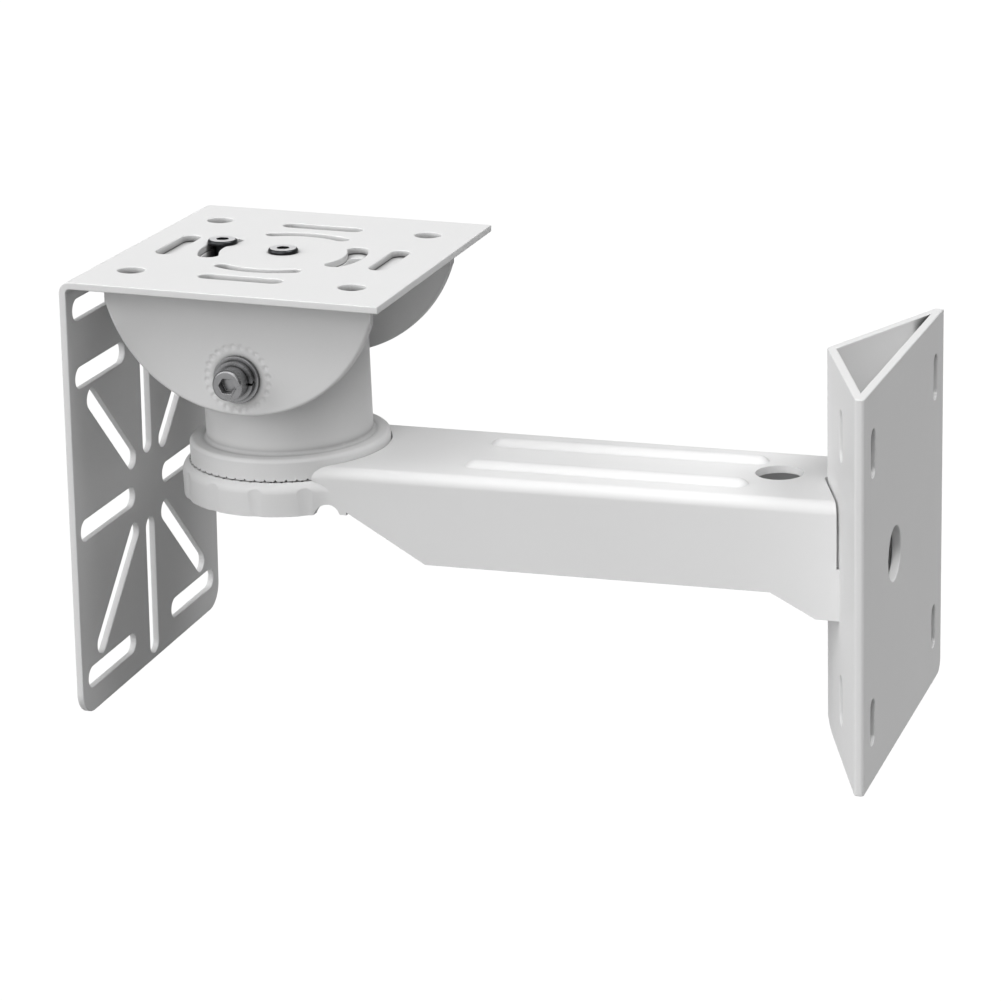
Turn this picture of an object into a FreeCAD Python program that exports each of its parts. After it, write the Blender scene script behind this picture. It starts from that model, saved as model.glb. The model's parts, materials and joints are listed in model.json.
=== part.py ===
import FreeCAD, Part
import math
import os

os.makedirs("parts", exist_ok=True)

V = FreeCAD.Vector

# Camera wall bracket, in millimetres.
# The origin is the middle of the back plate's wall side. +X points into the wall, +Y runs
# along the wall and +Z is up, so the arm reaches out along -X.

# Wall plate: a flat back with two wings that run forward to a ridge.
wall_width = 116.0
wall_height = 130.0
wall_sheet = 3.0
ridge_depth = 26.0
ridge_radius = 3.0
near_fold_radius = 1.2
lower_corner_radius = 5.0
wall_slot_length = 15.5
wall_slot_width = 6.0
wall_slot_pitch_y = 91.0
wall_slot_pitch_z = 89.0
wing_slot_length = 17.0
wing_slot_width = 7.0
wing_slot_pitch_y = 60.0
wing_slot_pitch_z = 89.0
wall_cable_hole = 18.0
wall_cable_hole_y = -15.0
wall_cable_hole_z = 2.0
wing_cable_hole = 14.0

# Arm: a pressed channel, open below, with a round cup that carries the swivel.
reach = 217.3
arm_sheet = 2.5
arm_top = 21.0
arm_height = 31.5
arm_width_at_cup = 59.0
arm_width_at_wall = 53.0
arm_edge_radius = 4.0
heel_drop = 8.0
heel_start = 38.3
heel_end = 23.3
nose_start = 187.5
nose_rise = 2.5
nose_end = 157.3
cup_radius = 38.0
cup_bottom = 5.0
cup_edge_radius = 4.0
cup_blend_radius = 12.0
seat_level = 16.2
seat_web = 3.0
bead_offset = 13.0
bead_width = 8.0
bead_height = 2.0
bead_start = 148.3
bead_end = 48.0
arm_cable_hole = 16.0
arm_cable_hole_x = -42.5
arm_cable_hole_y = 2.0
rim_notch_radius = 4.4
rim_notch_x = -191.8
rim_notch_drop = 1.0
scallop_radius = 10.0
scallop_depth = 0.45
scallop_first = 17.1
scallop_step = 25.7
scallops_each_side = 5
weld_slit = 0.9
weld_slit_bottom = -1.0

# Swivel post: turns on the cup about the vertical pan bolt.
post_radius = 29.0
post_top = 61.0
post_top_radius = 3.0
post_bore = 42.0
post_floor = 12.0
flange_radius = 35.0
flange_side = 6.0
flange_shoulder = 1.6
flange_rise = 8.8
seat_clearance = 0.5
running_gap = 0.45
swivel_teeth = 60
swivel_tooth_depth = 0.7
swivel_tooth_width = 1.0
swivel_tooth_inner = 27.0
pan_bolt_thread = 10.0
pan_bolt_flats = 16.0
pan_bolt_head = 6.4
pan_nut_height = 8.0
pan_washer = 20.0
pan_washer_thick = 2.0
cup_washer = 28.0
cup_washer_thick = 2.5
pan_spring_outer = 18.0
pan_spring_thick = 2.5

# Tilt: the cradle's two ears clamp the ends of the cross boss on the post.
tilt_level = 55.0
boss_radius = 13.0
boss_length = 80.4
boss_teeth = 24
tooth_ring_inner = 9.2
tooth_ring_outer = 12.6
boss_tooth_width = 1.4
boss_tooth_depth = 0.5
ear_tooth_width = 1.1
ear_tooth_depth = 0.5
ear_tooth_gap = 0.3
ear_dent_radius = 3.2
ear_dent_depth = 0.35
tilt_thread = 6.0
tilt_head = 10.6
tilt_head_height = 6.0
tilt_socket = 5.0
tilt_socket_depth = 3.0
tilt_washer = 16.0
tilt_washer_thick = 1.6
tilt_spring_outer = 13.4
tilt_spring_thick = 2.0
tilt_nut_flats = 10.0
tilt_nut_height = 5.2

# Cradle: one folded sheet with a flat web and two round ears.
cradle_sheet = 3.0
cradle_fold_radius = 4.5
ear_radius = 49.0
ear_centre_height = 36.0
ear_edge_radius = 1.2
ear_end_flat = 1.7

# Camera plate: an L of slotted sheet on top of the cradle.
plate_sheet = 2.5
plate_length = 111.0
plate_width = 122.0
panel_height = 154.5
plate_bend_radius = 4.0
plate_corner_radius = 9.0
plate_height = 33.0
plate_offset = 0.0
corner_hole = 9.2
corner_hole_pitch = 78.0
long_slot_length = 29.5
long_slot_width = 6.6
side_slot_x = 38.5
end_slot_y = 39.0
thin_arc_radius = 27.0
thin_arc_width = 5.2
thin_arc_half_angle = 28.0
wide_arc_radius = 25.5
wide_arc_width = 7.0
wide_arc_half_angle = 26.0
panel_centre_drop = 88.5
panel_slot_width = 7.5
ray_inner = 12.0
ray_outer_side = 57.0
ray_outer_up = 64.0
ray_outer_corner = 66.0
ray_corner_angle = 45.0
corner_slot_length = 40.0
corner_slot_y = 36.0
corner_slot_z = 53.5
bend_slot_drop = 11.5

# Plate screws, through the camera plate and the cradle's web.
screw_thread = 6.0
screw_head = 10.4
screw_head_height = 1.5
screw_socket = 4.0
screw_socket_depth = 0.9
screw_washer = 12.0
screw_washer_thick = 1.0
screw_nut_flats = 10.0
screw_nut_height = 5.0
screw_end = 2.0
web_arc_near = 32.0
web_arc_far = 14.0

# Clearances shared by the fasteners.
thread_fit = 0.1
hole_clearance = 0.4
running_fit = 0.05
thread_end = 2.0

# The pose in the photograph: the head is turned and tilted a little.
pan_in_photo = 2.8
tilt_in_photo = 2.2

# Worked out from the sizes above.
arm_bottom = arm_top - arm_height
heel_bottom = arm_bottom - heel_drop
wing_slope = (ridge_depth - wall_sheet) / (wall_width / 2)
wing_across = wall_sheet * math.hypot(1.0, wing_slope)
web_top = plate_height - plate_sheet
web_bottom = web_top - cradle_sheet
ear_inner = boss_length / 2 + ear_tooth_depth + ear_tooth_gap
ear_outer = ear_inner + cradle_sheet
ear_chord = math.sqrt(ear_radius ** 2 - (ear_centre_height - web_top) ** 2)
cradle_length = 2 * (ear_chord - ear_end_flat)
flange_bottom = seat_level + running_gap
floor_top = flange_bottom + post_floor
cup_web_bottom = seat_level - seat_web
bead_bar_radius = ((bead_width / 2) ** 2 + bead_height ** 2) / (2 * bead_height)
far = 300.0


def prism(points, low, high):
    """A polygon in X and Y, drawn up from low to high."""
    wire = Part.makePolygon([V(x, y, low) for x, y in points + points[:1]])
    return Part.Face(wire).extrude(V(0, 0, high - low))


def side_prism(points, half_width):
    """A polygon in X and Z, drawn out to both sides along Y."""
    wire = Part.makePolygon([V(x, -half_width, z) for x, z in points + points[:1]])
    return Part.Face(wire).extrude(V(0, 2 * half_width, 0))


def drum(radius, low, high, x=0.0, y=0.0):
    """An upright cylinder."""
    return Part.makeCylinder(radius, high - low, V(x, y, low))


def cross_drum(radius, start, end, x=0.0, z=0.0):
    """A cylinder along Y."""
    return Part.makeCylinder(radius, end - start, V(x, start, z), V(0, 1, 0))


def slot(length, width, depth):
    """A round-ended cutter along X, centred, that reaches depth to both sides of Z = 0."""
    half = (length - width) / 2
    r = width / 2
    edges = [
        Part.makeLine(V(-half, -r, -depth), V(half, -r, -depth)),
        Part.Arc(V(half, -r, -depth), V(half + r, 0, -depth), V(half, r, -depth)).toShape(),
        Part.makeLine(V(half, r, -depth), V(-half, r, -depth)),
        Part.Arc(V(-half, r, -depth), V(-half - r, 0, -depth), V(-half, -r, -depth)).toShape(),
    ]
    return Part.Face(Part.Wire(edges)).extrude(V(0, 0, 2 * depth))


def arc_slot(radius, width, start, end, depth):
    """A round-ended cutter along an arc about the Z axis, between two angles of its end centres."""
    def at(r, angle):
        a = math.radians(angle)
        return V(r * math.cos(a), r * math.sin(a), -depth)

    inner, outer, middle = radius - width / 2, radius + width / 2, (start + end) / 2
    cap = math.degrees(width / 2 / radius)
    edges = [
        Part.Arc(at(outer, start), at(outer, middle), at(outer, end)).toShape(),
        Part.Arc(at(outer, end), at(radius, end + cap), at(inner, end)).toShape(),
        Part.Arc(at(inner, end), at(inner, middle), at(inner, start)).toShape(),
        Part.Arc(at(inner, start), at(radius, start - cap), at(outer, start)).toShape(),
    ]
    return Part.Face(Part.Wire(edges)).extrude(V(0, 0, 2 * depth))


def moved(shape, x=0.0, y=0.0, z=0.0):
    result = shape.copy()
    result.translate(V(x, y, z))
    return result


def turned(shape, axis, angle):
    result = shape.copy()
    result.rotate(V(0, 0, 0), axis, angle)
    return result


def to_near_side(shape):
    """Lays a fastener that stands head up so that its head points to -Y."""
    return turned(shape, V(1, 0, 0), 90)


def to_far_side(shape):
    """Lays a fastener that stands head up so that its head points to +Y."""
    return turned(shape, V(1, 0, 0), -90)


def washer(outer, bore, thick):
    return drum(outer / 2, 0, thick).cut(drum(bore / 2, -1, thick + 1))


def spring_washer(outer, bore, thick):
    """A split ring, cut through at a slant."""
    gap = Part.makeBox(outer, thick * 0.4, thick * 3, V(bore / 4, -thick * 0.2, -thick))
    gap.rotate(V(outer / 2, 0, thick / 2), V(1, 0, 0), 30)
    return washer(outer, bore, thick).cut(gap)


def hexagon(flats, low, high):
    """A hexagonal prism with its top and bottom corners turned off."""
    r = flats / math.sqrt(3)
    corners = [(r * math.cos(math.radians(60 * i)), r * math.sin(math.radians(60 * i))) for i in range(6)]
    blunt = drum(r, low, high)
    rims = [e for e in blunt.Edges if isinstance(e.Curve, Part.Circle)]
    blunt = blunt.makeChamfer((r - flats / 2) * 0.8, rims)
    return prism(corners, low, high).common(blunt)


def hex_nut(flats, bore, height):
    return hexagon(flats, 0, height).cut(drum(bore / 2, -1, height + 1))


def hex_bolt(thread, length, flats, head):
    return hexagon(flats, 0, head).fuse(drum(thread / 2, -length, 0)).removeSplitter()


def socket_screw(thread, length, head, height, socket, socket_depth):
    """A cap screw with a chamfered head and a hexagonal socket."""
    cap = drum(head / 2, 0, height)
    rim = [e for e in cap.Edges if isinstance(e.Curve, Part.Circle) and e.Curve.Center.z > height / 2]
    cap = cap.makeChamfer(head * 0.06, rim)
    r = socket / math.sqrt(3)
    corners = [(r * math.cos(math.radians(60 * i)), r * math.sin(math.radians(60 * i))) for i in range(6)]
    return cap.cut(prism(corners, height - socket_depth, height + 1)).fuse(drum(thread / 2, -length, 0))


def low_screw(thread, length, head, height, socket, socket_depth):
    """A screw with a low domed head and a hexagonal socket."""
    dome = drum(head / 2, 0, height)
    rim = [e for e in dome.Edges if isinstance(e.Curve, Part.Circle) and e.Curve.Center.z > height / 2]
    dome = dome.makeFillet(height * 0.7, rim)
    r = socket / math.sqrt(3)
    corners = [(r * math.cos(math.radians(60 * i)), r * math.sin(math.radians(60 * i))) for i in range(6)]
    return dome.cut(prism(corners, height - socket_depth, height + 1)).fuse(drum(thread / 2, -length, 0))


def radial_grooves(count, inner, outer, width, depth, level, upward):
    """V-shaped cutters that run out from the Z axis, sunk from a flat face at the given level."""
    tip = level - depth if upward else level + depth
    back = level + depth if upward else level - depth
    profile = [V(inner, 0, tip), V(inner, -width, back), V(inner, width, back)]
    one = Part.Face(Part.makePolygon(profile + profile[:1])).extrude(V(outer - inner, 0, 0))
    return Part.makeCompound([turned(one, V(0, 0, 1), 360.0 * i / count) for i in range(count)])


def wing_block(growth=0.0, low=-far, high=far):
    """The wall plate's full outline from above, with its front moved out by growth."""
    half = wall_width / 2
    side = wall_sheet + growth
    return prism([(0, -half), (0, half), (-side, half), (-ridge_depth - growth, 0), (-side, -half)], low, high)


def make_wall_plate():
    half, rise = wall_width / 2, wall_height / 2
    body = wing_block(0, -rise, rise)
    near = [e for e in body.Edges if e.Length > wall_sheet * 2 and all(abs(v.Y + half) < 0.01 for v in e.Vertexes)]
    ridge = [e for e in body.Edges if all(abs(v.X + ridge_depth) < 0.01 for v in e.Vertexes)]
    body = body.makeFillet(near_fold_radius, near)
    ridge = [e for e in body.Edges if all(abs(v.X + ridge_depth) < 0.01 for v in e.Vertexes)]
    body = body.makeFillet(ridge_radius, ridge)
    tip = half - wing_across / wing_slope
    hollow = prism([(-wall_sheet, -tip), (-wall_sheet, tip),
                    (-wall_sheet - wing_slope * tip, 0)], -far, far)
    body = body.cut(hollow)
    # The lower corners at the ridge and at the far edge are rounded.
    r = lower_corner_radius
    far_corner = Part.makeBox(far, r, r, V(-far / 2, half - r, -rise))
    far_corner = far_corner.cut(Part.makeCylinder(r, far, V(-far / 2, half - r, -rise + r), V(1, 0, 0)))
    ridge_corner = Part.makeBox(r, far, r, V(-ridge_depth, -far / 2, -rise))
    ridge_corner = ridge_corner.cut(cross_drum(r, -far / 2, far / 2, -ridge_depth + r, -rise + r))
    body = body.cut(far_corner).cut(ridge_corner)
    # The back's slots go through the back only, and the wings' slots through the wings only.
    in_back = turned(slot(wall_slot_length, wall_slot_width, wall_sheet + 0.2), V(0, 1, 0), 90)
    in_wing = turned(slot(wing_slot_length, wing_slot_width, ridge_depth / 2), V(0, 1, 0), 90)
    for sign_y in (-1, 1):
        for sign_z in (-1, 1):
            body = body.cut(moved(in_back, 0, sign_y * wall_slot_pitch_y / 2, sign_z * wall_slot_pitch_z / 2))
            body = body.cut(moved(in_wing, -wall_sheet - 0.5 - ridge_depth / 2, sign_y * wing_slot_pitch_y / 2,
                                  sign_z * wing_slot_pitch_z / 2))
    cable = Part.makeCylinder(wall_cable_hole / 2, 2 * wall_sheet,
                              V(-wall_sheet * 1.5, wall_cable_hole_y, wall_cable_hole_z), V(1, 0, 0))
    into_arm = Part.makeCylinder(wing_cable_hole / 2, ridge_depth,
                                 V(-wall_sheet * 1.5 - ridge_depth, wall_cable_hole_y, wall_cable_hole_z), V(1, 0, 0))
    return body.cut(cable).cut(into_arm)


def channel_plan(inset):
    """The straight part of the arm from above, as a polygon that tapers to the wall."""
    a, b = arm_width_at_cup / 2 - inset, arm_width_at_wall / 2 - inset
    return [(-reach, -a), (0, -b), (0, b), (-reach, a)]


def cup_plan():
    """The cup from above: a round end that runs into the sides through two hollow curves."""
    k = (arm_width_at_cup - arm_width_at_wall) / 2 / reach
    s = math.hypot(1.0, k)
    m = arm_width_at_cup / 2 + cup_blend_radius * s
    span = cup_radius + cup_blend_radius
    cx = (m * k + math.sqrt(m * m * k * k - s * s * (m * m - span * span))) / (s * s)
    cy = m - k * cx
    on_cup = V(cx, cy, 0) * (cup_radius / span)
    on_side = V(cx - cup_blend_radius * k / s, cy - cup_blend_radius / s, 0)
    centre = V(cx, cy, 0)
    middle_dir = (on_cup - centre) + (on_side - centre)
    on_blend = centre + middle_dir * (cup_blend_radius / middle_dir.Length)
    end = V(on_side.x + 4.0, on_side.y - 4.0 * k, 0)

    def low(p):
        return V(p.x, -p.y, 0)

    edges = [
        Part.Arc(low(on_cup), V(-cup_radius, 0, 0), on_cup).toShape(),
        Part.Arc(on_cup, on_blend, on_side).toShape(),
        Part.makeLine(on_side, end),
        Part.makeLine(end, low(end)),
        Part.makeLine(low(end), low(on_side)),
        Part.Arc(low(on_side), low(on_blend), low(on_cup)).toShape(),
    ]
    return Part.Wire(edges)


def bead(radius, y):
    """A pressed bead on the arm's top: a long round bar with ball ends."""
    centre_z = arm_top + bead_height - bead_bar_radius
    start, end = -bead_start + bead_bar_radius, -bead_end - bead_bar_radius
    bar = Part.makeCylinder(radius, end - start, V(start, y, centre_z), V(1, 0, 0))
    for x in (start, end):
        bar = bar.fuse(Part.makeSphere(radius, V(x, y, centre_z)))
    return bar


def make_arm():
    side = [(-reach, cup_bottom), (rim_notch_x, cup_bottom), (-nose_start, cup_bottom + nose_rise),
            (-nose_end, arm_bottom), (-heel_start, arm_bottom),
            (-heel_end, heel_bottom), (0, heel_bottom), (0, arm_top), (-reach, arm_top)]
    body = prism(channel_plan(0), -far, far).common(side_prism(side, far))
    top_edges = [e for e in body.Edges if len(e.Vertexes) == 2
                 and all(abs(v.Z - arm_top) < 0.01 for v in e.Vertexes)
                 and abs(e.Vertexes[0].X - e.Vertexes[1].X) > reach / 2]
    body = body.makeFillet(arm_edge_radius, top_edges)
    cup = Part.Face(cup_plan()).extrude(V(0, 0, seat_level + running_gap - cup_bottom))
    rim = [e for e in cup.Edges if all(abs(v.Z - cup.BoundBox.ZMax) < 0.01 for v in e.Vertexes)
           and min(v.X for v in e.Vertexes) < cup.BoundBox.XMax - 1.0]
    cup = cup.makeFillet(cup_edge_radius, rim)
    # The cup's side is softly scalloped.
    for i in range(scallops_each_side):
        for side_of_end in (-1, 1):
            a = math.radians(180 + side_of_end * (scallop_first + i * scallop_step))
            out = cup_radius + scallop_radius - scallop_depth
            cup = cup.cut(drum(scallop_radius, -1, cup.BoundBox.ZMax + 1, out * math.cos(a), out * math.sin(a)))
    body = body.fuse(moved(cup, -reach, 0, cup_bottom)).removeSplitter()
    for y in (-bead_offset, bead_offset):
        body = body.fuse(bead(bead_bar_radius, y))
    # The press leaves an even sheet, so the inside follows the outside.
    hollow = prism(channel_plan(arm_sheet), -far, arm_top - arm_sheet)
    hollow = hollow.cut(drum(cup_radius, cup_web_bottom, far, -reach))
    hollow = hollow.fuse(drum(cup_radius - arm_sheet, -far, cup_web_bottom, -reach))
    for y in (-bead_offset, bead_offset):
        hollow = hollow.fuse(bead(bead_bar_radius - arm_sheet, y))
    body = body.cut(hollow)
    body = body.cut(drum(flange_radius + seat_clearance, seat_level, far, -reach))
    teeth = radial_grooves(swivel_teeth, swivel_tooth_inner, cup_radius + 1, swivel_tooth_width,
                           swivel_tooth_depth, 0.0, True)
    near_seat = drum(flange_radius + seat_clearance, -far, far)
    body = body.cut(moved(teeth.common(near_seat), -reach, 0, seat_level))
    body = body.cut(drum(pan_bolt_thread / 2 + running_fit, -far, far, -reach))
    body = body.cut(cross_drum(rim_notch_radius, -far, 0, rim_notch_x, cup_bottom - rim_notch_drop))
    body = body.cut(drum(arm_cable_hole / 2, 0, far, arm_cable_hole_x, arm_cable_hole_y))
    body = body.cut(wing_block())
    return body.cut(wing_block(weld_slit, weld_slit_bottom, far))


def make_post():
    low, r = flange_bottom, post_radius
    side_top = low + flange_side
    shoulder = flange_shoulder
    a = V(flange_radius - shoulder * (1 - math.sqrt(0.5)), 0, side_top + shoulder * math.sqrt(0.5))
    b = V(flange_radius - shoulder, 0, side_top + shoulder)
    foot_top = low + flange_rise
    sweep = foot_top - b.z
    foot_out = min(flange_radius - shoulder - r, sweep)
    c = V(r + foot_out, 0, foot_top - sweep)
    d = V(r + foot_out * (1 - math.sqrt(0.5)), 0, foot_top - sweep * math.sqrt(0.5))
    e = V(r, 0, foot_top)
    crown = V(r, 0, post_top - post_top_radius)
    crown_mid = V(r - post_top_radius * (1 - math.sqrt(0.5)), 0,
                  post_top - post_top_radius * (1 - math.sqrt(0.5)))
    crown_end = V(r - post_top_radius, 0, post_top)
    edges = [
        Part.makeLine(V(0, 0, low), V(flange_radius, 0, low)),
        Part.makeLine(V(flange_radius, 0, low), V(flange_radius, 0, side_top)),
        Part.Arc(V(flange_radius, 0, side_top), a, b).toShape(),
    ]
    if (b - c).Length > 0.01:
        edges.append(Part.makeLine(b, c))
    edges += [
        Part.Arc(c, d, e).toShape(),
        Part.makeLine(e, crown),
        Part.Arc(crown, crown_mid, crown_end).toShape(),
        Part.makeLine(crown_end, V(0, 0, post_top)),
        Part.makeLine(V(0, 0, post_top), V(0, 0, low)),
    ]
    body = Part.Face(Part.Wire(edges)).revolve(V(0, 0, 0), V(0, 0, 1), 360)
    body = body.fuse(cross_drum(boss_radius, -boss_length / 2, boss_length / 2, 0, tilt_level)).removeSplitter()
    body = body.cut(drum(post_bore / 2, floor_top, far))
    body = body.cut(drum(pan_bolt_thread / 2 + hole_clearance, 0, far))
    body = body.cut(cross_drum(tilt_thread / 2 + running_fit, -far, far, 0, tilt_level))
    teeth = radial_grooves(swivel_teeth, swivel_tooth_inner, flange_radius + 1, swivel_tooth_width,
                           swivel_tooth_depth, low, False)
    body = body.cut(teeth)
    ring = radial_grooves(boss_teeth, tooth_ring_inner, tooth_ring_outer, boss_tooth_width,
                          boss_tooth_depth, boss_length / 2, True)
    for lay in (to_near_side, to_far_side):
        body = body.cut(moved(lay(ring), 0, 0, tilt_level))
    return body


def make_cradle():
    """The cradle about the tilt axis, level and facing the wall."""
    high, wide = web_top, ear_outer
    deep = ear_radius - ear_centre_height + 1.0
    block = Part.makeBox(cradle_length, 2 * wide, high + deep, V(-cradle_length / 2, -wide, -deep))
    folds = [e for e in block.Edges if all(abs(v.Z - high) < 0.01 and abs(abs(v.Y) - wide) < 0.01
                                           for v in e.Vertexes)]
    block = block.makeFillet(cradle_fold_radius, folds)
    inside = Part.makeBox(cradle_length * 2, 2 * ear_inner, web_bottom + deep + 1,
                          V(-cradle_length, -ear_inner, -deep - 1))
    corners = [e for e in inside.Edges if all(abs(v.Z - web_bottom) < 0.01 and abs(abs(v.Y) - ear_inner) < 0.01
                                              for v in e.Vertexes)]
    inside = inside.makeFillet(cradle_fold_radius - cradle_sheet, corners)
    disc = cross_drum(ear_radius, -far, far, 0, ear_centre_height)
    body = block.cut(inside).common(disc)
    rims = [e for e in body.Edges if isinstance(e.Curve, Part.Circle) and abs(e.Curve.Radius - ear_radius) < 0.01
            and abs(abs(e.Vertexes[0].Y) - wide) < 0.01 and abs(abs(e.Vertexes[-1].Y) - wide) < 0.01]
    body = body.makeFillet(ear_edge_radius, rims)
    # Pressed teeth: bars on the inside that bite the boss, and their dents on the outside.
    for lay, sign in ((to_near_side, -1), (to_far_side, 1)):
        for i in range(boss_teeth):
            bar = Part.makeBox(tooth_ring_outer - tooth_ring_inner, ear_tooth_width, ear_tooth_depth,
                               V(tooth_ring_inner, -ear_tooth_width / 2, 0))
            bar = turned(bar, V(0, 0, 1), 360.0 * (i + 0.5) / boss_teeth)
            tooth = lay(moved(bar, 0, 0, ear_inner - ear_tooth_depth))
            middle = (tooth_ring_inner + tooth_ring_outer) / 2
            ball = Part.makeSphere(ear_dent_radius, V(middle, 0, ear_outer + ear_dent_radius - ear_dent_depth))
            dent = lay(turned(ball, V(0, 0, 1), 360.0 * (i + 0.5) / boss_teeth))
            body = body.cut(dent).fuse(tooth)
    body = body.cut(cross_drum((tilt_thread + hole_clearance) / 2, -far, far))
    # The web has the centre screw's hole and two curved slots under the plate's wide ones.
    body = body.cut(drum((screw_thread + hole_clearance) / 2, web_bottom - 1, web_top + 1, plate_offset))
    for start, end in ((-web_arc_near, web_arc_far), (180 - web_arc_far, 180 + web_arc_near)):
        window = arc_slot(wide_arc_radius, screw_thread + hole_clearance, start, end, cradle_sheet)
        body = body.cut(moved(window, plate_offset, 0, web_bottom + cradle_sheet / 2))
    return body


def arc_screw_place():
    """Where the second screw stands: at the far end of the web's left curved slot."""
    a = math.radians(180 - web_arc_far)
    return plate_offset + wide_arc_radius * math.cos(a), wide_arc_radius * math.sin(a)


def top_cutters():
    """Cutters for the level part of the camera plate, about its own centre."""
    deep = plate_sheet * 2
    cutters = [drum(screw_thread / 2 + running_fit, -deep, deep)]
    for x in (-corner_hole_pitch / 2, corner_hole_pitch / 2):
        for y in (-corner_hole_pitch / 2, corner_hole_pitch / 2):
            cutters.append(drum(corner_hole / 2, -deep, deep, x, y))
    straight = slot(long_slot_length, long_slot_width, deep)
    for sign in (-1, 1):
        cutters.append(moved(straight, 0, sign * end_slot_y, 0))
        cutters.append(moved(turned(straight, V(0, 0, 1), 90), sign * side_slot_x, 0, 0))
    for middle in (90.0, 270.0):
        cutters.append(arc_slot(thin_arc_radius, thin_arc_width, middle - thin_arc_half_angle,
                                middle + thin_arc_half_angle, deep))
    for middle in (0.0, 180.0):
        cutters.append(arc_slot(wide_arc_radius, wide_arc_width, middle - wide_arc_half_angle,
                                middle + wide_arc_half_angle, deep))
    return cutters


def ray(inner, outer, angle):
    """A slot that runs out from the Z axis between two distances."""
    one = slot(outer - inner, panel_slot_width, plate_sheet * 2)
    return turned(moved(one, (inner + outer) / 2, 0, 0), V(0, 0, 1), angle)


def panel_cutters():
    """Cutters for the hanging part, drawn flat: X is across the panel and Y is up it."""
    cutters = []
    for angle, outer in ((0, ray_outer_side), (90, ray_outer_up), (180, ray_outer_side), (270, ray_outer_up)):
        cutters.append(ray(ray_inner, outer, angle))
    for side in (0, 180):
        for lean in (-ray_corner_angle, ray_corner_angle):
            cutters.append(ray(ray_inner + panel_slot_width / 2, ray_outer_corner, side + lean))
    flat = slot(corner_slot_length, panel_slot_width, plate_sheet * 2)
    for x in (-corner_slot_y, corner_slot_y):
        for y in (-corner_slot_z, corner_slot_z, panel_centre_drop - bend_slot_drop):
            cutters.append(moved(flat, x, y, 0))
    return cutters


def make_camera_plate():
    """The camera plate about the tilt axis, level and facing the wall."""
    left, right = plate_offset - plate_length / 2, plate_offset + plate_length / 2
    top, under = plate_height, plate_height - plate_sheet
    bottom = plate_height - panel_height
    section = [(left, bottom), (left, top), (right, top), (right, under),
               (left + plate_sheet, under), (left + plate_sheet, bottom)]
    body = side_prism(section, plate_width / 2)
    for x, z, radius in ((left, top, plate_bend_radius),
                         (left + plate_sheet, under, plate_bend_radius - plate_sheet)):
        bend = [e for e in body.Edges if all(abs(v.X - x) < 0.01 and abs(v.Z - z) < 0.01 for v in e.Vertexes)]
        body = body.makeFillet(radius, bend)
    corners = [e for e in body.Edges if abs(e.Length - plate_sheet) < 0.01
               and all(abs(v.Z - bottom) < 0.01 for v in e.Vertexes)]
    body = body.makeFillet(plate_corner_radius, corners)
    for cutter in top_cutters():
        body = body.cut(moved(cutter, plate_offset, 0, top))
    for cutter in panel_cutters():
        standing = turned(turned(cutter, V(1, 0, 0), 90), V(0, 0, 1), 90)
        body = body.cut(moved(standing, left, 0, top - panel_centre_drop))
    return body


def pan_fasteners():
    """The pan bolt's stack, upright on the post's axis."""
    pieces = {}
    z = floor_top
    pieces["pan_bolt_washer"] = moved(washer(pan_washer, pan_bolt_thread + hole_clearance, pan_washer_thick), 0, 0, z)
    head_seat = z + pan_washer_thick
    z = cup_web_bottom - running_fit - cup_washer_thick
    pieces["cup_washer"] = moved(washer(cup_washer, pan_bolt_thread + hole_clearance, cup_washer_thick), 0, 0, z)
    z -= pan_spring_thick
    spring = spring_washer(pan_spring_outer, pan_bolt_thread + hole_clearance, pan_spring_thick)
    pieces["pan_spring_washer"] = moved(spring, 0, 0, z)
    z -= pan_nut_height
    pieces["pan_nut"] = moved(hex_nut(pan_bolt_flats, pan_bolt_thread + thread_fit, pan_nut_height), 0, 0, z)
    bolt = hex_bolt(pan_bolt_thread, head_seat - z + thread_end, pan_bolt_flats, pan_bolt_head)
    pieces["pan_bolt"] = moved(bolt, 0, 0, head_seat)
    return pieces


def tilt_fasteners():
    """The tilt screw's stack, along Y about the tilt axis."""
    flat = washer(tilt_washer, tilt_thread + hole_clearance, tilt_washer_thick)
    spring = spring_washer(tilt_spring_outer, tilt_thread + hole_clearance, tilt_spring_thick)
    nut = hex_nut(tilt_nut_flats, tilt_thread + thread_fit, tilt_nut_height)
    spring_seat = ear_outer + tilt_washer_thick
    head_seat = spring_seat + tilt_spring_thick
    length = head_seat + spring_seat + tilt_nut_height + thread_end
    screw = socket_screw(tilt_thread, length, tilt_head, tilt_head_height, tilt_socket, tilt_socket_depth)
    return {
        "tilt_washer_near": to_near_side(moved(flat, 0, 0, ear_outer)),
        "tilt_spring_washer": to_near_side(moved(spring, 0, 0, spring_seat)),
        "tilt_screw": to_near_side(moved(screw, 0, 0, head_seat)),
        "tilt_washer_far": to_far_side(moved(flat, 0, 0, ear_outer)),
        "tilt_nut": to_far_side(moved(nut, 0, 0, spring_seat)),
    }


def plate_fasteners():
    """The two screws that hold the camera plate, with the washers and nuts under the web, about the tilt axis."""
    head_seat = plate_height + running_fit
    washer_low = web_bottom - screw_washer_thick
    nut_low = washer_low - screw_nut_height
    ring = washer(screw_washer, screw_thread + hole_clearance, screw_washer_thick)
    nut = hex_nut(screw_nut_flats, screw_thread + thread_fit, screw_nut_height)
    screw = low_screw(screw_thread, head_seat - nut_low + screw_end, screw_head, screw_head_height,
                      screw_socket, screw_socket_depth)
    pieces = {}
    for name, (x, y) in (("centre", (plate_offset, 0.0)), ("arc", arc_screw_place())):
        pieces[name + "_screw"] = moved(screw, x, y, head_seat)
        pieces[name + "_screw_washer"] = moved(ring, x, y, washer_low)
        pieces[name + "_screw_nut"] = moved(nut, x, y, nut_low)
    return pieces


def on_post(shape):
    """Turns a piece of the swivel to its place on the arm."""
    return moved(turned(shape, V(0, 0, 1), pan_in_photo), -reach)


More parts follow.
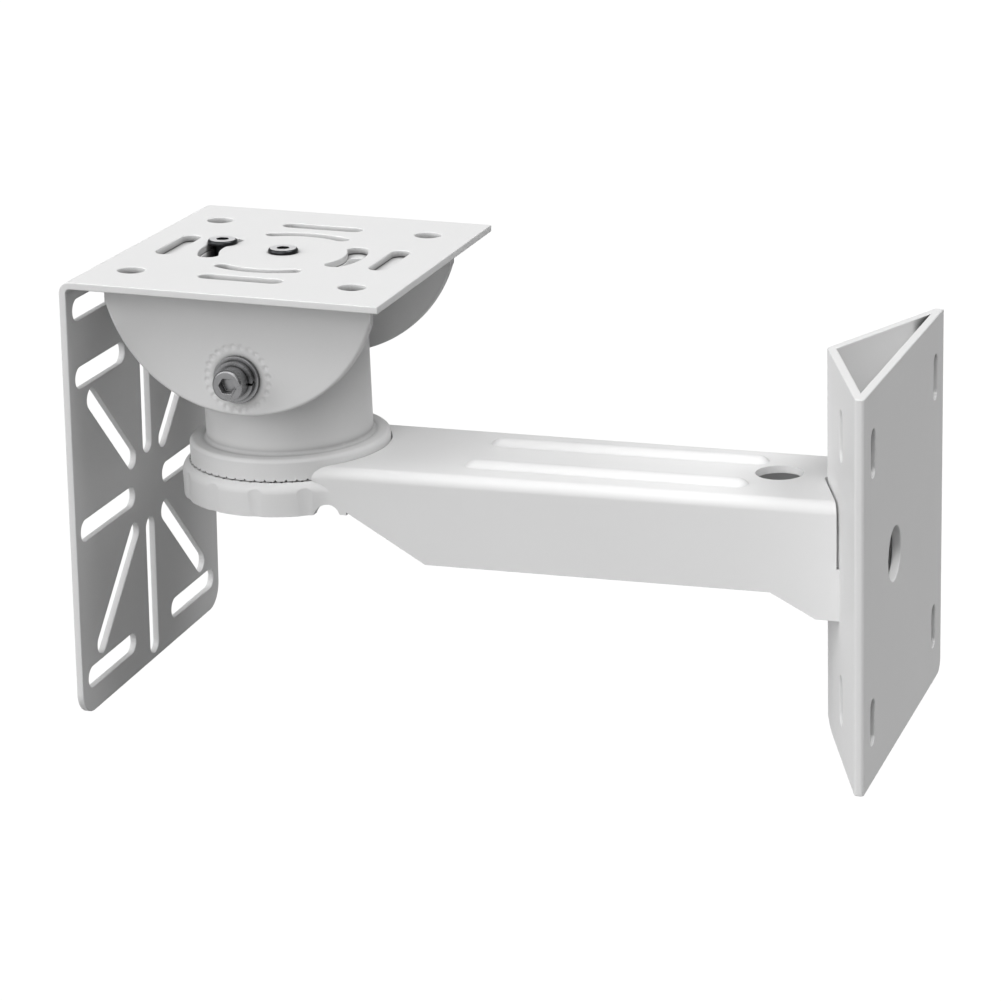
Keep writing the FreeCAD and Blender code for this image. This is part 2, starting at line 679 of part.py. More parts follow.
def on_cradle(shape):
    """Tilts and turns a piece of the head to its place."""
    tilted = turned(shape, V(0, 1, 0), tilt_in_photo)
    return on_post(moved(tilted, 0, 0, tilt_level))


def main():
    parts = {"wall_plate": make_wall_plate(), "arm": make_arm(), "swivel_post": on_post(make_post())}
    for name, shape in pan_fasteners().items():
        parts[name] = on_post(shape)
    parts["cradle"] = on_cradle(make_cradle())
    parts["camera_plate"] = on_cradle(make_camera_plate())
    for group in (tilt_fasteners(), plate_fasteners()):
        for name, shape in group.items():
            parts[name] = on_cradle(shape)
    for name, shape in parts.items():
        shape.exportStep(f"parts/{name}.step")
        print(name, len(shape.Solids), round(shape.Volume, 1), shape.isValid())


main()
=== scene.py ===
"""Camera wall bracket, dressed: softened sheet edges, powder coat, plated fasteners and a plain studio."""

import json
import math

import bmesh
import bpy
from bpy.props import FloatProperty, FloatVectorProperty, IntProperty, PointerProperty
from mathutils import Matrix, Vector


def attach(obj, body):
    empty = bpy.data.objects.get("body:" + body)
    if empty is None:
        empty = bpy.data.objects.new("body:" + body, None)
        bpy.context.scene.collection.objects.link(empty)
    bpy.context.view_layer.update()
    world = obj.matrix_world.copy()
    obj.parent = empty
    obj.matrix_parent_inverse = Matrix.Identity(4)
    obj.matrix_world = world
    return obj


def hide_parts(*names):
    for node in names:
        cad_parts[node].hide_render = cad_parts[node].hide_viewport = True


bl_info = {
    "name": "Camera wall bracket",
    "version": (1, 0, 0),
    "blender": (4, 5, 0),
    "location": "3D View > Sidebar > Bracket",
    "description": "Dresses the wall bracket's parts and sets a plain studio round them",
    "category": "Object",
}

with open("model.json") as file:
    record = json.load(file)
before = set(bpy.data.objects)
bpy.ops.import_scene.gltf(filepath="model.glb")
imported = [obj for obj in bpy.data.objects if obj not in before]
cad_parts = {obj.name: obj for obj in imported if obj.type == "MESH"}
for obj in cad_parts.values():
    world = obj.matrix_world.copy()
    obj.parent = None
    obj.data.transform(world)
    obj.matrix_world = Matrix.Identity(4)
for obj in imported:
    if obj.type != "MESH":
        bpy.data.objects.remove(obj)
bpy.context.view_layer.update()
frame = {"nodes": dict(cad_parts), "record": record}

MM = 0.001

# The sheets and castings that are powder coated, with the radius of their softened edges in mm.
COATED = {
    "wall_plate": 0.45,
    "arm": 0.45,
    "swivel_post": 0.35,
    "cradle": 0.40,
    "camera_plate": 0.40,
}
# The pieces that lie on one another, so that each paints shade into the other's slots and corners.
STACKED = ("cradle", "camera_plate")
# The pieces whose fine teeth and notches leave no room for edges that are rounded in full.
CRAMPED = ("swivel_post", "arm")
# The plated fasteners, with the radius of their softened edges in mm.
PLATED = {
    "pan_bolt": 0.25,
    "pan_bolt_washer": 0.20,
    "cup_washer": 0.25,
    "pan_spring_washer": 0.20,
    "pan_nut": 0.25,
    "tilt_washer_near": 0.20,
    "tilt_spring_washer": 0.20,
    "tilt_washer_far": 0.20,
    "tilt_nut": 0.25,
    "centre_screw": 0.12,
    "centre_screw_washer": 0.10,
    "centre_screw_nut": 0.20,
    "arc_screw": 0.12,
    "arc_screw_washer": 0.10,
    "arc_screw_nut": 0.20,
    "tilt_screw": 0.20,
}
# The nut that each threaded piece carries, and the joint whose axis it follows.
THREADED = {
    "pan_bolt": ("pan_nut", "pan"),
    "tilt_screw": ("tilt_nut", "tilt"),
    "centre_screw": ("centre_screw_nut", "plate_turn"),
    "arc_screw": ("arc_screw_nut", "plate_turn"),
}
# An edge that turns by more than this is rounded, and a rounded edge up to this is shaded smooth.
SHARP = math.radians(32)
SMOOTH = math.radians(38)
# Points this close are one, and faces this close to flat are merged.
SAME_POINT = 0.002 * MM
FLAT = math.radians(0.4)
# A face has room for a rounding when it is this many times as wide, an edge when this many times as long.
ROOM_ACROSS = 2.2
ROOM_ALONG = 1.1
# The steps of a rounded edge, and how strongly large faces keep their shading flat.
ROUND_STEPS = 2
FLAT_PULL = 90
# The sides of a thread's ridge, its steps in a turn, and the gap that closes where one turn meets the next.
RIDGE_SIDES = 6
TURN_STEPS = 48
TURN_GAP = 0.01 * MM
# Points within this of a screw's tip are on its end face.
END_FACE = 0.02 * MM
# The far lights: the setting with their strength, and azimuth, elevation and spread in degrees.
LIGHTS = {
    "overhead": (0, 65, 50),
    "front": (0, 15, 50),
    "left": (-60, 30, 50),
    "right": (100, 60, 28),
}
FLOOR_SIZE = 6.0
# The floor's glow to the camera and to mirrors, and the share of it that covers the lit paper.
FLOOR_GLOW = 1.32
FLOOR_SHARE = 0.75
# The mirrored room's wall brightens between these heights on a sphere of 1, from this share of the ceiling's.
WALL_FROM = -0.1
WALL_TO = 0.8
WALL_FOOT = 0.1
WHITE = (1.0, 1.0, 1.0, 1.0)
# The finish of the fasteners in each of the record's slots.
FASTENER_FINISH = {"zinc_steel": "zinc_plate", "dark_steel": "darkened_steel"}
ZINC_ROUGHNESS = 0.28
DARK_ROUGHNESS = 0.30
# The powder coat: its clouds and specks in waves a metre, and its tone in a dull cloud and in a bright one.
CLOUDS = 28.0
SPECKS = 3200.0
CLOUD_TONES = (0.985, 1.012)
# The ripples' share of the coat's height, how strongly that height shows, and how far it moves the roughness.
PEEL_SHARE = 0.8
PEEL_STRENGTH = 0.55
PEEL_ROUGHNESS = 0.08
# The plating: spots and grain in waves a metre, the tones of a dull spot and a bright one, and the relief.
SPOTS = 420.0
GRAINS = 2600.0
SPOT_TONES = (0.86, 1.14)
SPOT_ROUGHNESS = 0.1
GRAIN_STRENGTH = 0.4
GRAIN_HEIGHT = 0.01 * MM
# The tone of the painted shade in a tight crevice of the plating, and how far from a corner that painted
# shade reaches.
METAL_PAINTED_SHADE = 0.12
METAL_SHADE_REACH = 1.6 * MM
# The openness that counts as closed, and how fast the painted shade fades above that, for the coat and the
# plating.
COAT_CLOSED, COAT_SHADE_FADE = 0.32, 1.7
METAL_CLOSED, METAL_SHADE_FADE = 0.35, 1.9
# Blackened steel gets a painted highlight where it faces up by more than this: how fast it brightens, and the
# metal look it loses there.
GLINT_FROM = 0.9
GLINT_SHARPNESS = 14.0
GLINT_METAL_LOSS = 0.85
# The places of the sockets that a Mix node has for colours.
COLOUR_FACTOR, COLOUR_A, COLOUR_B, COLOUR_MIXED = 0, 6, 7, 2


class CoatSettings(bpy.types.PropertyGroup):
    colour: FloatVectorProperty(
        name="Coat colour", description="Colour of the powder coat", subtype="COLOR",
        size=3, min=0.0, max=1.0, default=(0.80, 0.80, 0.80))
    roughness: FloatProperty(
        name="Coat roughness", description="How matt the powder coat is", min=0.0, max=1.0, default=0.50,
        subtype="FACTOR")
    peel_size: FloatProperty(
        name="Peel size", description="Distance between the coat's soft ripples", default=0.9 * MM,
        min=0.1 * MM, subtype="DISTANCE", unit="LENGTH", precision=5)
    peel_height: FloatProperty(
        name="Peel height", description="Height of the coat's soft ripples", default=0.012 * MM,
        min=0.0, subtype="DISTANCE", unit="LENGTH", precision=6)
    # Painted shade: how far from a corner the coat is darkened, and how dark it is in a tight crevice.
    painted_shade_reach: FloatProperty(
        name="Painted shade reach", description="How far from a corner the painted shade of a crevice reaches",
        default=4.0 * MM, min=0.1 * MM, subtype="DISTANCE", unit="LENGTH", precision=5)
    painted_shade_tone: FloatProperty(
        name="Painted shade tone", description="The coat's painted shade in a tight crevice, against an open face",
        default=0.12, min=0.0, max=1.0, subtype="FACTOR")


class MetalSettings(bpy.types.PropertyGroup):
    zinc: FloatVectorProperty(
        name="Zinc colour", description="Colour of the plated fasteners", subtype="COLOR",
        size=3, min=0.0, max=1.0, default=(0.25, 0.25, 0.255))
    dark: FloatVectorProperty(
        name="Blackened colour", description="Colour of the plate's blackened screws", subtype="COLOR",
        size=3, min=0.0, max=1.0, default=(0.035, 0.036, 0.038))
    # Painted highlight: the colour painted on the blackened screws' upward faces.
    painted_glint: FloatVectorProperty(
        name="Painted glint colour", description="Colour of the blackened screws' painted glint on their tops", subtype="COLOR",
        size=3, min=0.0, max=1.0, default=(0.74, 0.74, 0.75))
    thread_share: FloatProperty(
        name="Thread pitch share", description="The threads' pitch as a share of the shaft's diameter",
        default=0.155, min=0.05, max=0.5)
    thread_height: FloatProperty(
        name="Thread height", description="How far the threads stand out of the shafts", default=0.14 * MM,
        min=0.0, subtype="DISTANCE", unit="LENGTH", precision=6)


class StudioSettings(bpy.types.PropertyGroup):
    azimuth: FloatProperty(
        name="Azimuth", description="The camera's turn about the upright axis", subtype="ANGLE",
        unit="ROTATION", default=math.radians(20.587))
    elevation: FloatProperty(
        name="Elevation", description="The camera's height above the level", subtype="ANGLE",
        unit="ROTATION", default=math.radians(17.59))
    roll: FloatProperty(
        name="Roll", description="The camera's turn about its own line of sight", subtype="ANGLE",
        unit="ROTATION", default=math.radians(-2.118))
    distance: FloatProperty(
        name="Distance", description="From the camera to its target", default=1014.774 * MM, min=0.1,
        subtype="DISTANCE", unit="LENGTH", precision=4)
    target: FloatVectorProperty(
        name="Target", description="The point in the middle of the picture", subtype="TRANSLATION",
        unit="LENGTH", size=3, default=(-140.183 * MM, 0.0, 4.662 * MM), precision=5)
    lens: FloatProperty(
        name="Lens", description="Focal length in millimetres on a 36 mm sensor", default=106.96,
        min=10.0)
    floor_drop: FloatProperty(
        name="Floor drop", description="How far the floor lies under the bracket's origin",
        default=0.42, min=0.1, subtype="DISTANCE", unit="LENGTH")
    overhead: FloatProperty(
        name="Overhead", description="Strength of the light from above", default=0.35, min=0.0)
    front: FloatProperty(
        name="Front", description="Strength of the light from the front", default=0.375, min=0.0)
    left: FloatProperty(
        name="Left", description="Strength of the light from the front left", default=0.47, min=0.0)
    right: FloatProperty(
        name="Right", description="Strength of the light from the upper right", default=0.49, min=0.0)
    ambient: FloatProperty(
        name="Ambient", description="Strength of the even light of the room", default=0.02, min=0.0)
    mirrored: FloatProperty(
        name="Mirrored room", description="Brightness of the room's ceiling in polished metal",
        default=0.7, min=0.0)
    floor_tone: FloatProperty(
        name="Floor tone", description="How much light the floor throws back", default=0.15,
        min=0.0, max=1.0)


class Value:
    """A number in a node tree: a socket that can be reckoned with like a plain number."""

    def __init__(self, nodes, socket):
        self.nodes = nodes
        self.socket = socket

    def _math(self, operation, first, second):
        made = self.nodes.add("ShaderNodeMath", {"operation": operation}, {0: first, 1: second})
        return self.nodes.value(made.outputs[0])

    def __add__(self, other):
        return self._math("ADD", self, other)

    def __radd__(self, other):
        return self._math("ADD", other, self)

    def __sub__(self, other):
        return self._math("SUBTRACT", self, other)

    def __rsub__(self, other):
        return self._math("SUBTRACT", other, self)

    def __mul__(self, other):
        return self._math("MULTIPLY", self, other)

    def __rmul__(self, other):
        return self._math("MULTIPLY", other, self)

    def clamped(self):
        low = self._math("MAXIMUM", self, 0.0)
        return low._math("MINIMUM", low, 1.0)


class Nodes:
    """A tree of nodes, with one method that adds any of them."""

    def __init__(self, tree):
        self.tree = tree
        tree.nodes.clear()

    def add(self, kind, settings=None, sockets=None):
        """A node of a kind: its settings are set first, then the values or links of its sockets."""
        node = self.tree.nodes.new(kind)
        for key, value in (settings or {}).items():
            setattr(node, key, value)
        for key, value in (sockets or {}).items():
            self.feed(node.inputs[key], value)
        return node

    def feed(self, socket, value):
        """Links a socket to a number, an output or a node's first output, or sets it to a plain value."""
        if isinstance(value, Value):
            value = value.socket
        if isinstance(value, bpy.types.Node):
            value = value.outputs[0]
        if isinstance(value, bpy.types.NodeSocket):
            self.tree.links.new(value, socket)
        else:
            socket.default_value = value

    def value(self, socket):
        return Value(self, socket)


class MaterialNodes(Nodes):
    """The nodes of a new material."""

    def __init__(self, name):
        old = bpy.data.materials.get(name)
        if old:
            bpy.data.materials.remove(old)
        self.material = bpy.data.materials.new(name)
        self.material.use_nodes = True
        super().__init__(self.material.node_tree)

    def noise(self, place, scale, detail):
        sockets = {"Vector": place, "Scale": scale, "Detail": detail}
        return self.value(self.add("ShaderNodeTexNoise", None, sockets).outputs[0])

    def mix(self, factor, a, b):
        """A colour between a and b."""
        sockets = {COLOUR_FACTOR: factor, COLOUR_A: a, COLOUR_B: b}
        return self.add("ShaderNodeMix", {"data_type": "RGBA"}, sockets).outputs[COLOUR_MIXED]

    def finished(self, shader):
        """The material, which shows a shader."""
        self.add("ShaderNodeOutputMaterial", None, {"Surface": shader})
        return self.material

    def principled(self, sockets):
        """The material, which shows a principled shader with these sockets."""
        return self.finished(self.add("ShaderNodeBsdfPrincipled", None, sockets))


def shade_of(colour, factor):
    return tuple(c * factor for c in colour) + (1.0,)


def openness(nodes, reach, own_faces, closed, shade_fade):
    """How open a place is within a short reach, from 0 in slots to 1, as the mask of painted shade; own_faces
    leaves other pieces out.
    """
    settings = {"samples": 8, "only_local": own_faces}
    sky = nodes.add("ShaderNodeAmbientOcclusion", settings, {"Distance": reach}).outputs["AO"]
    return ((nodes.value(sky) - closed) * shade_fade).clamped()


def powder_coat(name, coat, own_faces):
    """Satin powder coat: pale, with a fine orange peel, a faint clouding and painted shade in slots and
    crevices.
    """
    nodes = MaterialNodes(name)
    place = nodes.add("ShaderNodeTexCoord").outputs["Object"]
    peel = nodes.noise(place, 1.0 / coat.peel_size, 2.5)
    cloud = nodes.noise(place, CLOUDS, 3.0)
    speck = nodes.noise(place, SPECKS, 1.0)
    height = peel * PEEL_SHARE + speck * (1.0 - PEEL_SHARE)
    relief = {"Strength": PEEL_STRENGTH, "Distance": coat.peel_height, "Height": height}
    bump = nodes.add("ShaderNodeBump", None, relief)
    dull, bright = (shade_of(coat.colour, tone) for tone in CLOUD_TONES)
    # Painted shade: the coat's colour is darkened where the place is closed in, in slots, corners and
    # crevices.
    coat_unshaded = openness(nodes, coat.painted_shade_reach, own_faces, COAT_CLOSED, COAT_SHADE_FADE)
    open_coat = nodes.mix(cloud, dull, bright)
    colour = nodes.mix(coat_unshaded, shade_of(coat.colour, coat.painted_shade_tone), open_coat)
    roughness = (coat.roughness - PEEL_ROUGHNESS / 2) + peel * PEEL_ROUGHNESS
    return nodes.principled({
        "Base Color": colour, "Roughness": roughness, "Normal": bump,
        "Specular IOR Level": 0.30, "Coat Weight": 0.06, "Coat Roughness": 0.25})


def plated_steel(name, colour, roughness, painted_glint=None):
    """Plated or blackened steel, spotted, with painted shade in its crevices; the last argument, if given, is
    the colour of a painted highlight on its upward faces.
    """
    nodes = MaterialNodes(name)
    place = nodes.add("ShaderNodeTexCoord").outputs["Object"]
    spots = nodes.noise(place, SPOTS, 3.0)
    grain = nodes.noise(place, GRAINS, 2.0)
    relief = {"Strength": GRAIN_STRENGTH, "Distance": GRAIN_HEIGHT, "Height": grain}
    bump = nodes.add("ShaderNodeBump", None, relief)
    dull, bright = (shade_of(colour, tone) for tone in SPOT_TONES)
    tint = nodes.mix(spots, dull, bright)
    metallic = 1.0
    if painted_glint:
        # Painted highlight: faces that point up are painted bright and made less metallic.
        facing = nodes.add("ShaderNodeTexCoord").outputs["Normal"]
        upward = nodes.value(nodes.add("ShaderNodeSeparateXYZ", None, {0: facing}).outputs["Z"])
        top = ((upward - GLINT_FROM) * GLINT_SHARPNESS).clamped()
        tint = nodes.mix(top, tint, shade_of(painted_glint, 1.0))
        metallic = 1.0 - top * GLINT_METAL_LOSS
    # Painted shade: the plating is darkened in tight crevices and where pieces meet.
    metal_unshaded = openness(nodes, METAL_SHADE_REACH, False, METAL_CLOSED, METAL_SHADE_FADE)
    tint = nodes.mix(metal_unshaded, shade_of(colour, METAL_PAINTED_SHADE), tint)
    roughness = (roughness - SPOT_ROUGHNESS / 2) + spots * SPOT_ROUGHNESS
    return nodes.principled({
        "Base Color": tint, "Roughness": roughness, "Normal": bump, "Metallic": metallic})


def linked(name, data):
    """A new object in the scene, with a mesh, a light or a camera."""
    obj = bpy.data.objects.new(name, data)
    bpy.context.scene.collection.objects.link(obj)
    return obj


def bake(obj):
    """Turns what a piece's modifiers make into its plain mesh."""
    graph = bpy.context.evaluated_depsgraph_get()
    mesh = bpy.data.meshes.new_from_object(obj.evaluated_get(graph), depsgraph=graph)
    obj.modifiers.clear()
    old = obj.data
    obj.data = mesh
    bpy.data.meshes.remove(old)


def width_beside(edge):
    """The width of the narrower face beside an edge, square to it."""
    start = edge.verts[0].co
    along = (edge.verts[1].co - start).normalized()
    widths = []
    for face in edge.link_faces:
        offsets = [v.co - start for v in face.verts]
        widths.append(max((o - along * o.dot(along)).length for o in offsets))
    return min(widths)


def edges_with_room(shell, radius):
    """The sharp edges to round in full: wide faces lie beside them and nothing short ends on them."""
    sharp = {e: width_beside(e) >= ROOM_ACROSS * radius for e in shell.edges
             if len(e.link_faces) == 2 and e.calc_face_angle() > SHARP}
    chosen = []
    for edge, wide in sharp.items():
        others = [o for v in edge.verts for o in v.link_edges if o is not edge]
        if wide and all(sharp.get(o, o.calc_length() > ROOM_ALONG * radius) for o in others):
            chosen.append(edge)
    return chosen


def softened(node, radius, material, in_full):
    """A copy of a part with its sharp edges rounded, shown in the part's place."""
    mesh = frame["nodes"][node].data.copy()
    shell = bmesh.new()
    shell.from_mesh(mesh)
    bmesh.ops.remove_doubles(shell, verts=shell.verts, dist=SAME_POINT)
    bmesh.ops.dissolve_limit(shell, angle_limit=FLAT, verts=shell.verts, edges=shell.edges)
    if in_full:
        weight = shell.edges.layers.float.new("bevel_weight_edge")
        for edge in edges_with_room(shell, radius * MM):
            edge[weight] = 1.0
    shell.to_mesh(mesh)
    shell.free()
    piece = linked(node + "_finished", mesh)
    bevel = piece.modifiers.new("Soft edges", "BEVEL")
    bevel.width = radius * MM
    bevel.segments = ROUND_STEPS
    bevel.limit_method = "WEIGHT" if in_full else "ANGLE"
    bevel.angle_limit = SHARP
    bevel.use_clamp_overlap = not in_full
    if not in_full:
        bevel.miter_outer = "MITER_ARC"
    bake(piece)
    piece.data.shade_smooth()
    piece.data.set_sharp_from_angle(angle=SMOOTH)
    normals = piece.modifiers.new("Flat faces", "WEIGHTED_NORMAL")
    normals.keep_sharp = True
    normals.weight = FLAT_PULL
    bake(piece)
    piece.data.materials.clear()
    piece.data.materials.append(material)
    return piece


def body_of_node(node):
    for body, nodes in frame["record"]["behaviour"]["bodies"].items():
        if node in nodes:
            return body
    raise RuntimeError(f"{node} is in no body")


def slot_of_node(node):
    for part in frame["record"]["subparts"]:
        if part["node"] == node:
            return part["material_slot"]
    raise RuntimeError(f"{node} has no material slot")


def dress(node, radius, material, in_full):
    piece = softened(node, radius, material, in_full)
    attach(piece, body_of_node(node))
    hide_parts(node)


class BRACKET_OT_coated_sheets(bpy.types.Operator):
    """Rounds the edges of the sheets and castings and gives them their powder coat"""
    bl_idname = "bracket.coated_sheets"
    bl_label = "Coated sheets"

    def execute(self, context):
        coat = context.scene.bracket_coat
        # Both coats paint shade into slots and corners; on the stacked pieces the neighbouring pieces deepen
        # it.
        apart = powder_coat("powder_coat_satin", coat, own_faces=True)
        stacked = powder_coat("powder_coat_satin_stacked", coat, own_faces=False)
        for node, radius in COATED.items():
            dress(node, radius, stacked if node in STACKED else apart, in_full=node not in CRAMPED)
        return {"FINISHED"}


class BRACKET_OT_fasteners(bpy.types.Operator):
    """Rounds the edges of the bolts, screws, washers and nuts and plates them"""
    bl_idname = "bracket.fasteners"
    bl_label = "Fasteners"

    def execute(self, context):
        metal = context.scene.bracket_metal
        zinc = plated_steel(FASTENER_FINISH["zinc_steel"], metal.zinc, ZINC_ROUGHNESS)
        dark = plated_steel(FASTENER_FINISH["dark_steel"], metal.dark, DARK_ROUGHNESS, metal.painted_glint)
        finishes = {"zinc_steel": zinc, "dark_steel": dark}
        for node, radius in PLATED.items():
            dress(node, radius, finishes[slot_of_node(node)], in_full=False)
        return {"FINISHED"}


def thread_tree():
    """A node tree that winds a screw thread: one turn, repeated along the shaft."""
    old = bpy.data.node_groups.get("screw_thread")
    if old:
        bpy.data.node_groups.remove(old)
    tree = bpy.data.node_groups.new("screw_thread", "GeometryNodeTree")
    ports = tree.interface
    ports.new_socket("Geometry", in_out="OUTPUT", socket_type="NodeSocketGeometry")
    for name, kind in (("Shaft radius", "Float"), ("Pitch", "Float"), ("Turns", "Int"), ("Ridge", "Float"),
                       ("Steps a turn", "Int"), ("Material", "Material")):
        ports.new_socket(name, in_out="INPUT", socket_type="NodeSocket" + kind)
    nodes = Nodes(tree)
    given = nodes.add("NodeGroupInput").outputs
    turn = nodes.add("GeometryNodeCurveSpiral", None, {
        "Resolution": given["Steps a turn"], "Rotations": 1.0, "Height": given["Pitch"],
        "Start Radius": given["Shaft radius"], "End Radius": given["Shaft radius"]})
    ridge = nodes.add("GeometryNodeCurvePrimitiveCircle", None, {
        "Resolution": RIDGE_SIDES, "Radius": given["Ridge"]})
    wound = nodes.add("GeometryNodeCurveToMesh", None, {"Curve": turn, "Profile Curve": ridge})
    step = nodes.add("ShaderNodeCombineXYZ", None, {"Z": given["Pitch"]})
    row = nodes.add("GeometryNodeMeshLine", None, {"Count": given["Turns"], "Offset": step})
    spread = nodes.add("GeometryNodeInstanceOnPoints", None, {"Points": row, "Instance": wound})
    whole = nodes.add("GeometryNodeRealizeInstances", None, {"Geometry": spread})
    joined = nodes.add("GeometryNodeMergeByDistance", None, {"Geometry": whole, "Distance": TURN_GAP})
    coated = nodes.add("GeometryNodeSetMaterial", None, {"Geometry": joined, "Material": given["Material"]})
    nodes.add("NodeGroupOutput", None, {"Geometry": coated})
    return tree


def set_input(modifier, name, value):
    for item in modifier.node_group.interface.items_tree:
        if item.name == name and item.in_out == "INPUT":
            modifier[item.identifier] = value
            return
    raise RuntimeError(f"The tree has no input {name}")


def axis_of_joint(name):
    for joint in frame["record"]["behaviour"]["joints"]:
        if joint["name"] == name:
            return Vector(joint["axis"]).normalized()
    raise RuntimeError(f"There is no joint {name}")


def middle_of(node):
    corners = [v.co for v in frame["nodes"][node].data.vertices]
    return sum(corners, Vector()) / len(corners)


def free_end(screw, nut, way):
    """Where a screw's shaft leaves its nut: the middle of its end face, its radius and its free length."""
    tips = [v.co for v in frame["nodes"][screw].data.vertices]
    last = max(co.dot(way) for co in tips)
    ring = {tuple(round(c, 6) for c in co) for co in tips if co.dot(way) > last - END_FACE}
    middle = sum((Vector(co) for co in ring), Vector()) / len(ring)
    radius = max((Vector(co) - middle).length for co in ring)
    nut_face = max(v.co.dot(way) for v in frame["nodes"][nut].data.vertices)
    return middle, radius, last - nut_face


def wound_thread(screw, nut, way, tree, metal, material):
    """The thread on the free end of a screw, as a mesh of its own."""
    middle, radius, length = free_end(screw, nut, way)
    pitch = 2 * radius * metal.thread_share
    turns = max(1, int((length - 2 * metal.thread_height) / pitch))
    piece = linked(screw + "_thread", bpy.data.meshes.new(screw + "_thread"))
    winder = piece.modifiers.new("Thread", "NODES")
    winder.node_group = tree
    sizes = {"Shaft radius": radius, "Pitch": pitch, "Turns": turns, "Ridge": metal.thread_height,
             "Steps a turn": TURN_STEPS, "Material": material}
    for name, value in sizes.items():
        set_input(winder, name, value)
    bake(piece)
    start = middle - way * (length / 2 + turns * pitch / 2)
    place = Matrix.Translation(start) @ way.to_track_quat("Z", "Y").to_matrix().to_4x4()
    piece.data.transform(place)
    piece.data.shade_smooth()
    return piece


class BRACKET_OT_threads(bpy.types.Operator):
    """Winds the threads on the ends of the bolts and screws"""
    bl_idname = "bracket.threads"
    bl_label = "Threads"

    def execute(self, context):
        metal = context.scene.bracket_metal
        tree = thread_tree()
        for screw, (nut, joint) in THREADED.items():
            way = axis_of_joint(joint)
            if (middle_of(nut) - middle_of(screw)).dot(way) < 0:
                way = -way
            material = bpy.data.materials[FASTENER_FINISH[slot_of_node(screw)]]
            piece = wound_thread(screw, nut, way, tree, metal, material)
            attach(piece, body_of_node(screw))
        return {"FINISHED"}


def toward(azimuth, elevation):
    """The way from the bracket to a place round it; an azimuth of 0 is in front, at negative Y."""
    level = math.cos(elevation)
    return Vector((math.sin(azimuth) * level, -math.cos(azimuth) * level, math.sin(elevation)))


def far_light(name, azimuth, elevation, spread, strength):
    """A soft, even light from far away; at a strength of 1 a white sheet that faces it shows white."""
    light = bpy.data.lights.new(name, "SUN")
    light.energy = strength * math.pi
    light.angle = math.radians(spread)
    obj = linked(name, light)
    source = toward(math.radians(azimuth), math.radians(elevation))
    obj.rotation_euler = source.to_track_quat("Z", "Y").to_euler()
    obj.location = source


def white_to_camera(nodes, lit, strength, share):
    """Shows white to the camera and to mirrors, and keeps a share of the lit surface's shadows."""
    path = nodes.add("ShaderNodeLightPath").outputs
    seen = nodes.value(path["Is Camera Ray"]) + nodes.value(path["Is Glossy Ray"])
    seen = seen + nodes.value(path["Is Transmission Ray"])
    white = nodes.add("ShaderNodeEmission", None, {"Color": WHITE, "Strength": strength})
    return nodes.add("ShaderNodeMixShader", None, {0: seen.clamped() * share, 1: lit, 2: white})


def room(ambient, ceiling):
    """White for the camera, an even light for the bracket, and a room that is darker below for mirrors."""
    world = bpy.data.worlds.new("room")
    world.use_nodes = True
    nodes = Nodes(world.node_tree)
    path = nodes.add("ShaderNodeLightPath").outputs
    around = nodes.add("ShaderNodeTexCoord").outputs["Generated"]
    upward = nodes.add("ShaderNodeSeparateXYZ", None, {0: around}).outputs["Z"]
    wall = nodes.add("ShaderNodeMapRange", {"clamp": True}, {
        "Value": upward, "From Min": WALL_FROM, "From Max": WALL_TO,
        "To Min": WALL_FOOT * ceiling, "To Max": ceiling})

    def glow(strength):
        return nodes.add("ShaderNodeBackground", None, {"Color": WHITE, "Strength": strength})

    seen = glow(ambient)
    for ray, shown in (("Is Glossy Ray", glow(wall)), ("Is Camera Ray", glow(1.0))):
        seen = nodes.add("ShaderNodeMixShader", None, {0: path[ray], 1: seen, 2: shown})
    nodes.add("ShaderNodeOutputWorld", None, {"Surface": seen})
    return world


def floor_sheet(studio):
    """The wide pale floor, well below the bracket."""
    mesh = bpy.data.meshes.new("floor")
    plane = bmesh.new()
    bmesh.ops.create_grid(plane, x_segments=8, y_segments=8, size=FLOOR_SIZE)
    bmesh.ops.translate(plane, verts=plane.verts, vec=(0, 0, -studio.floor_drop))
    plane.to_mesh(mesh)
    plane.free()
    nodes = MaterialNodes("pale_floor")
    paper = nodes.add("ShaderNodeBsdfDiffuse", None, {"Color": (studio.floor_tone,) * 3 + (1.0,)})
    mesh.materials.append(nodes.finished(white_to_camera(nodes, paper, FLOOR_GLOW, FLOOR_SHARE)))
    return linked("floor", mesh)


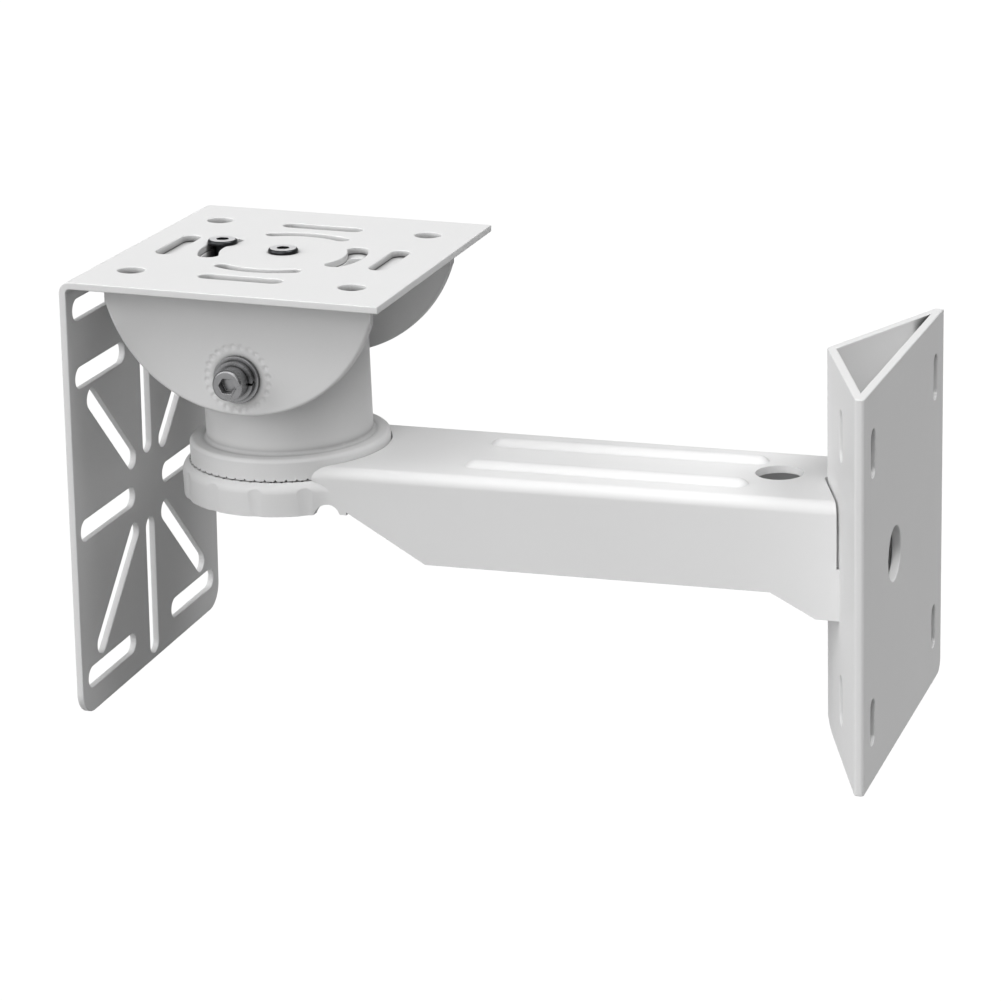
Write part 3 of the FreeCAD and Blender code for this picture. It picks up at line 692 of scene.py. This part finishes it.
def camera_of(studio):
    """The camera, with the photograph's place, turn and lens."""
    back = toward(studio.azimuth, studio.elevation)
    right = Vector((math.cos(studio.azimuth), math.sin(studio.azimuth), 0.0))
    upright = Matrix((right, back.cross(right), back)).transposed()
    turn = (upright @ Matrix.Rotation(studio.roll, 3, "Z")).to_4x4()
    data = bpy.data.cameras.new("camera")
    data.lens = studio.lens
    data.sensor_width = 36.0
    data.clip_start = 0.01
    camera = linked("camera", data)
    camera.matrix_world = Matrix.Translation(Vector(studio.target) + back * studio.distance) @ turn
    return camera


class BRACKET_OT_studio(bpy.types.Operator):
    """Sets the pale floor, the far lights, the room round them and the camera"""
    bl_idname = "bracket.studio"
    bl_label = "Studio"

    def execute(self, context):
        scene = context.scene
        studio = scene.bracket_studio
        scene.view_settings.view_transform = "Standard"
        floor = floor_sheet(studio)
        scene.world = room(studio.ambient, studio.mirrored)
        for name, (azimuth, elevation, spread) in LIGHTS.items():
            far_light(name + "_light", azimuth, elevation, spread, getattr(studio, name))
        scene.camera = camera_of(studio)
        return {"FINISHED"}


class BRACKET_PT_panel(bpy.types.Panel):
    """Lists the bracket's sizes, colours and pieces"""
    bl_idname = "BRACKET_PT_panel"
    bl_label = "Camera wall bracket"
    bl_space_type = "VIEW_3D"
    bl_region_type = "UI"
    bl_category = "Bracket"

    def draw(self, context):
        for group in ("bracket_coat", "bracket_metal", "bracket_studio"):
            settings = getattr(context.scene, group)
            column = self.layout.box().column()
            for name in settings.__annotations__:
                column.prop(settings, name)
        for kind in PIECES:
            self.layout.operator(kind.bl_idname)


PIECES = (BRACKET_OT_coated_sheets, BRACKET_OT_fasteners, BRACKET_OT_threads, BRACKET_OT_studio)
CLASSES = (CoatSettings, MetalSettings, StudioSettings) + PIECES + (BRACKET_PT_panel,)


def register():
    for kind in CLASSES:
        bpy.utils.register_class(kind)
    bpy.types.Scene.bracket_coat = PointerProperty(type=CoatSettings)
    bpy.types.Scene.bracket_metal = PointerProperty(type=MetalSettings)
    bpy.types.Scene.bracket_studio = PointerProperty(type=StudioSettings)


def unregister():
    del bpy.types.Scene.bracket_studio
    del bpy.types.Scene.bracket_metal
    del bpy.types.Scene.bracket_coat
    for kind in reversed(CLASSES):
        bpy.utils.unregister_class(kind)


def main():
    register()
    bpy.ops.bracket.coated_sheets()
    bpy.ops.bracket.fasteners()
    bpy.ops.bracket.threads()
    bpy.ops.bracket.studio()


if __name__ == "__main__":
    main()
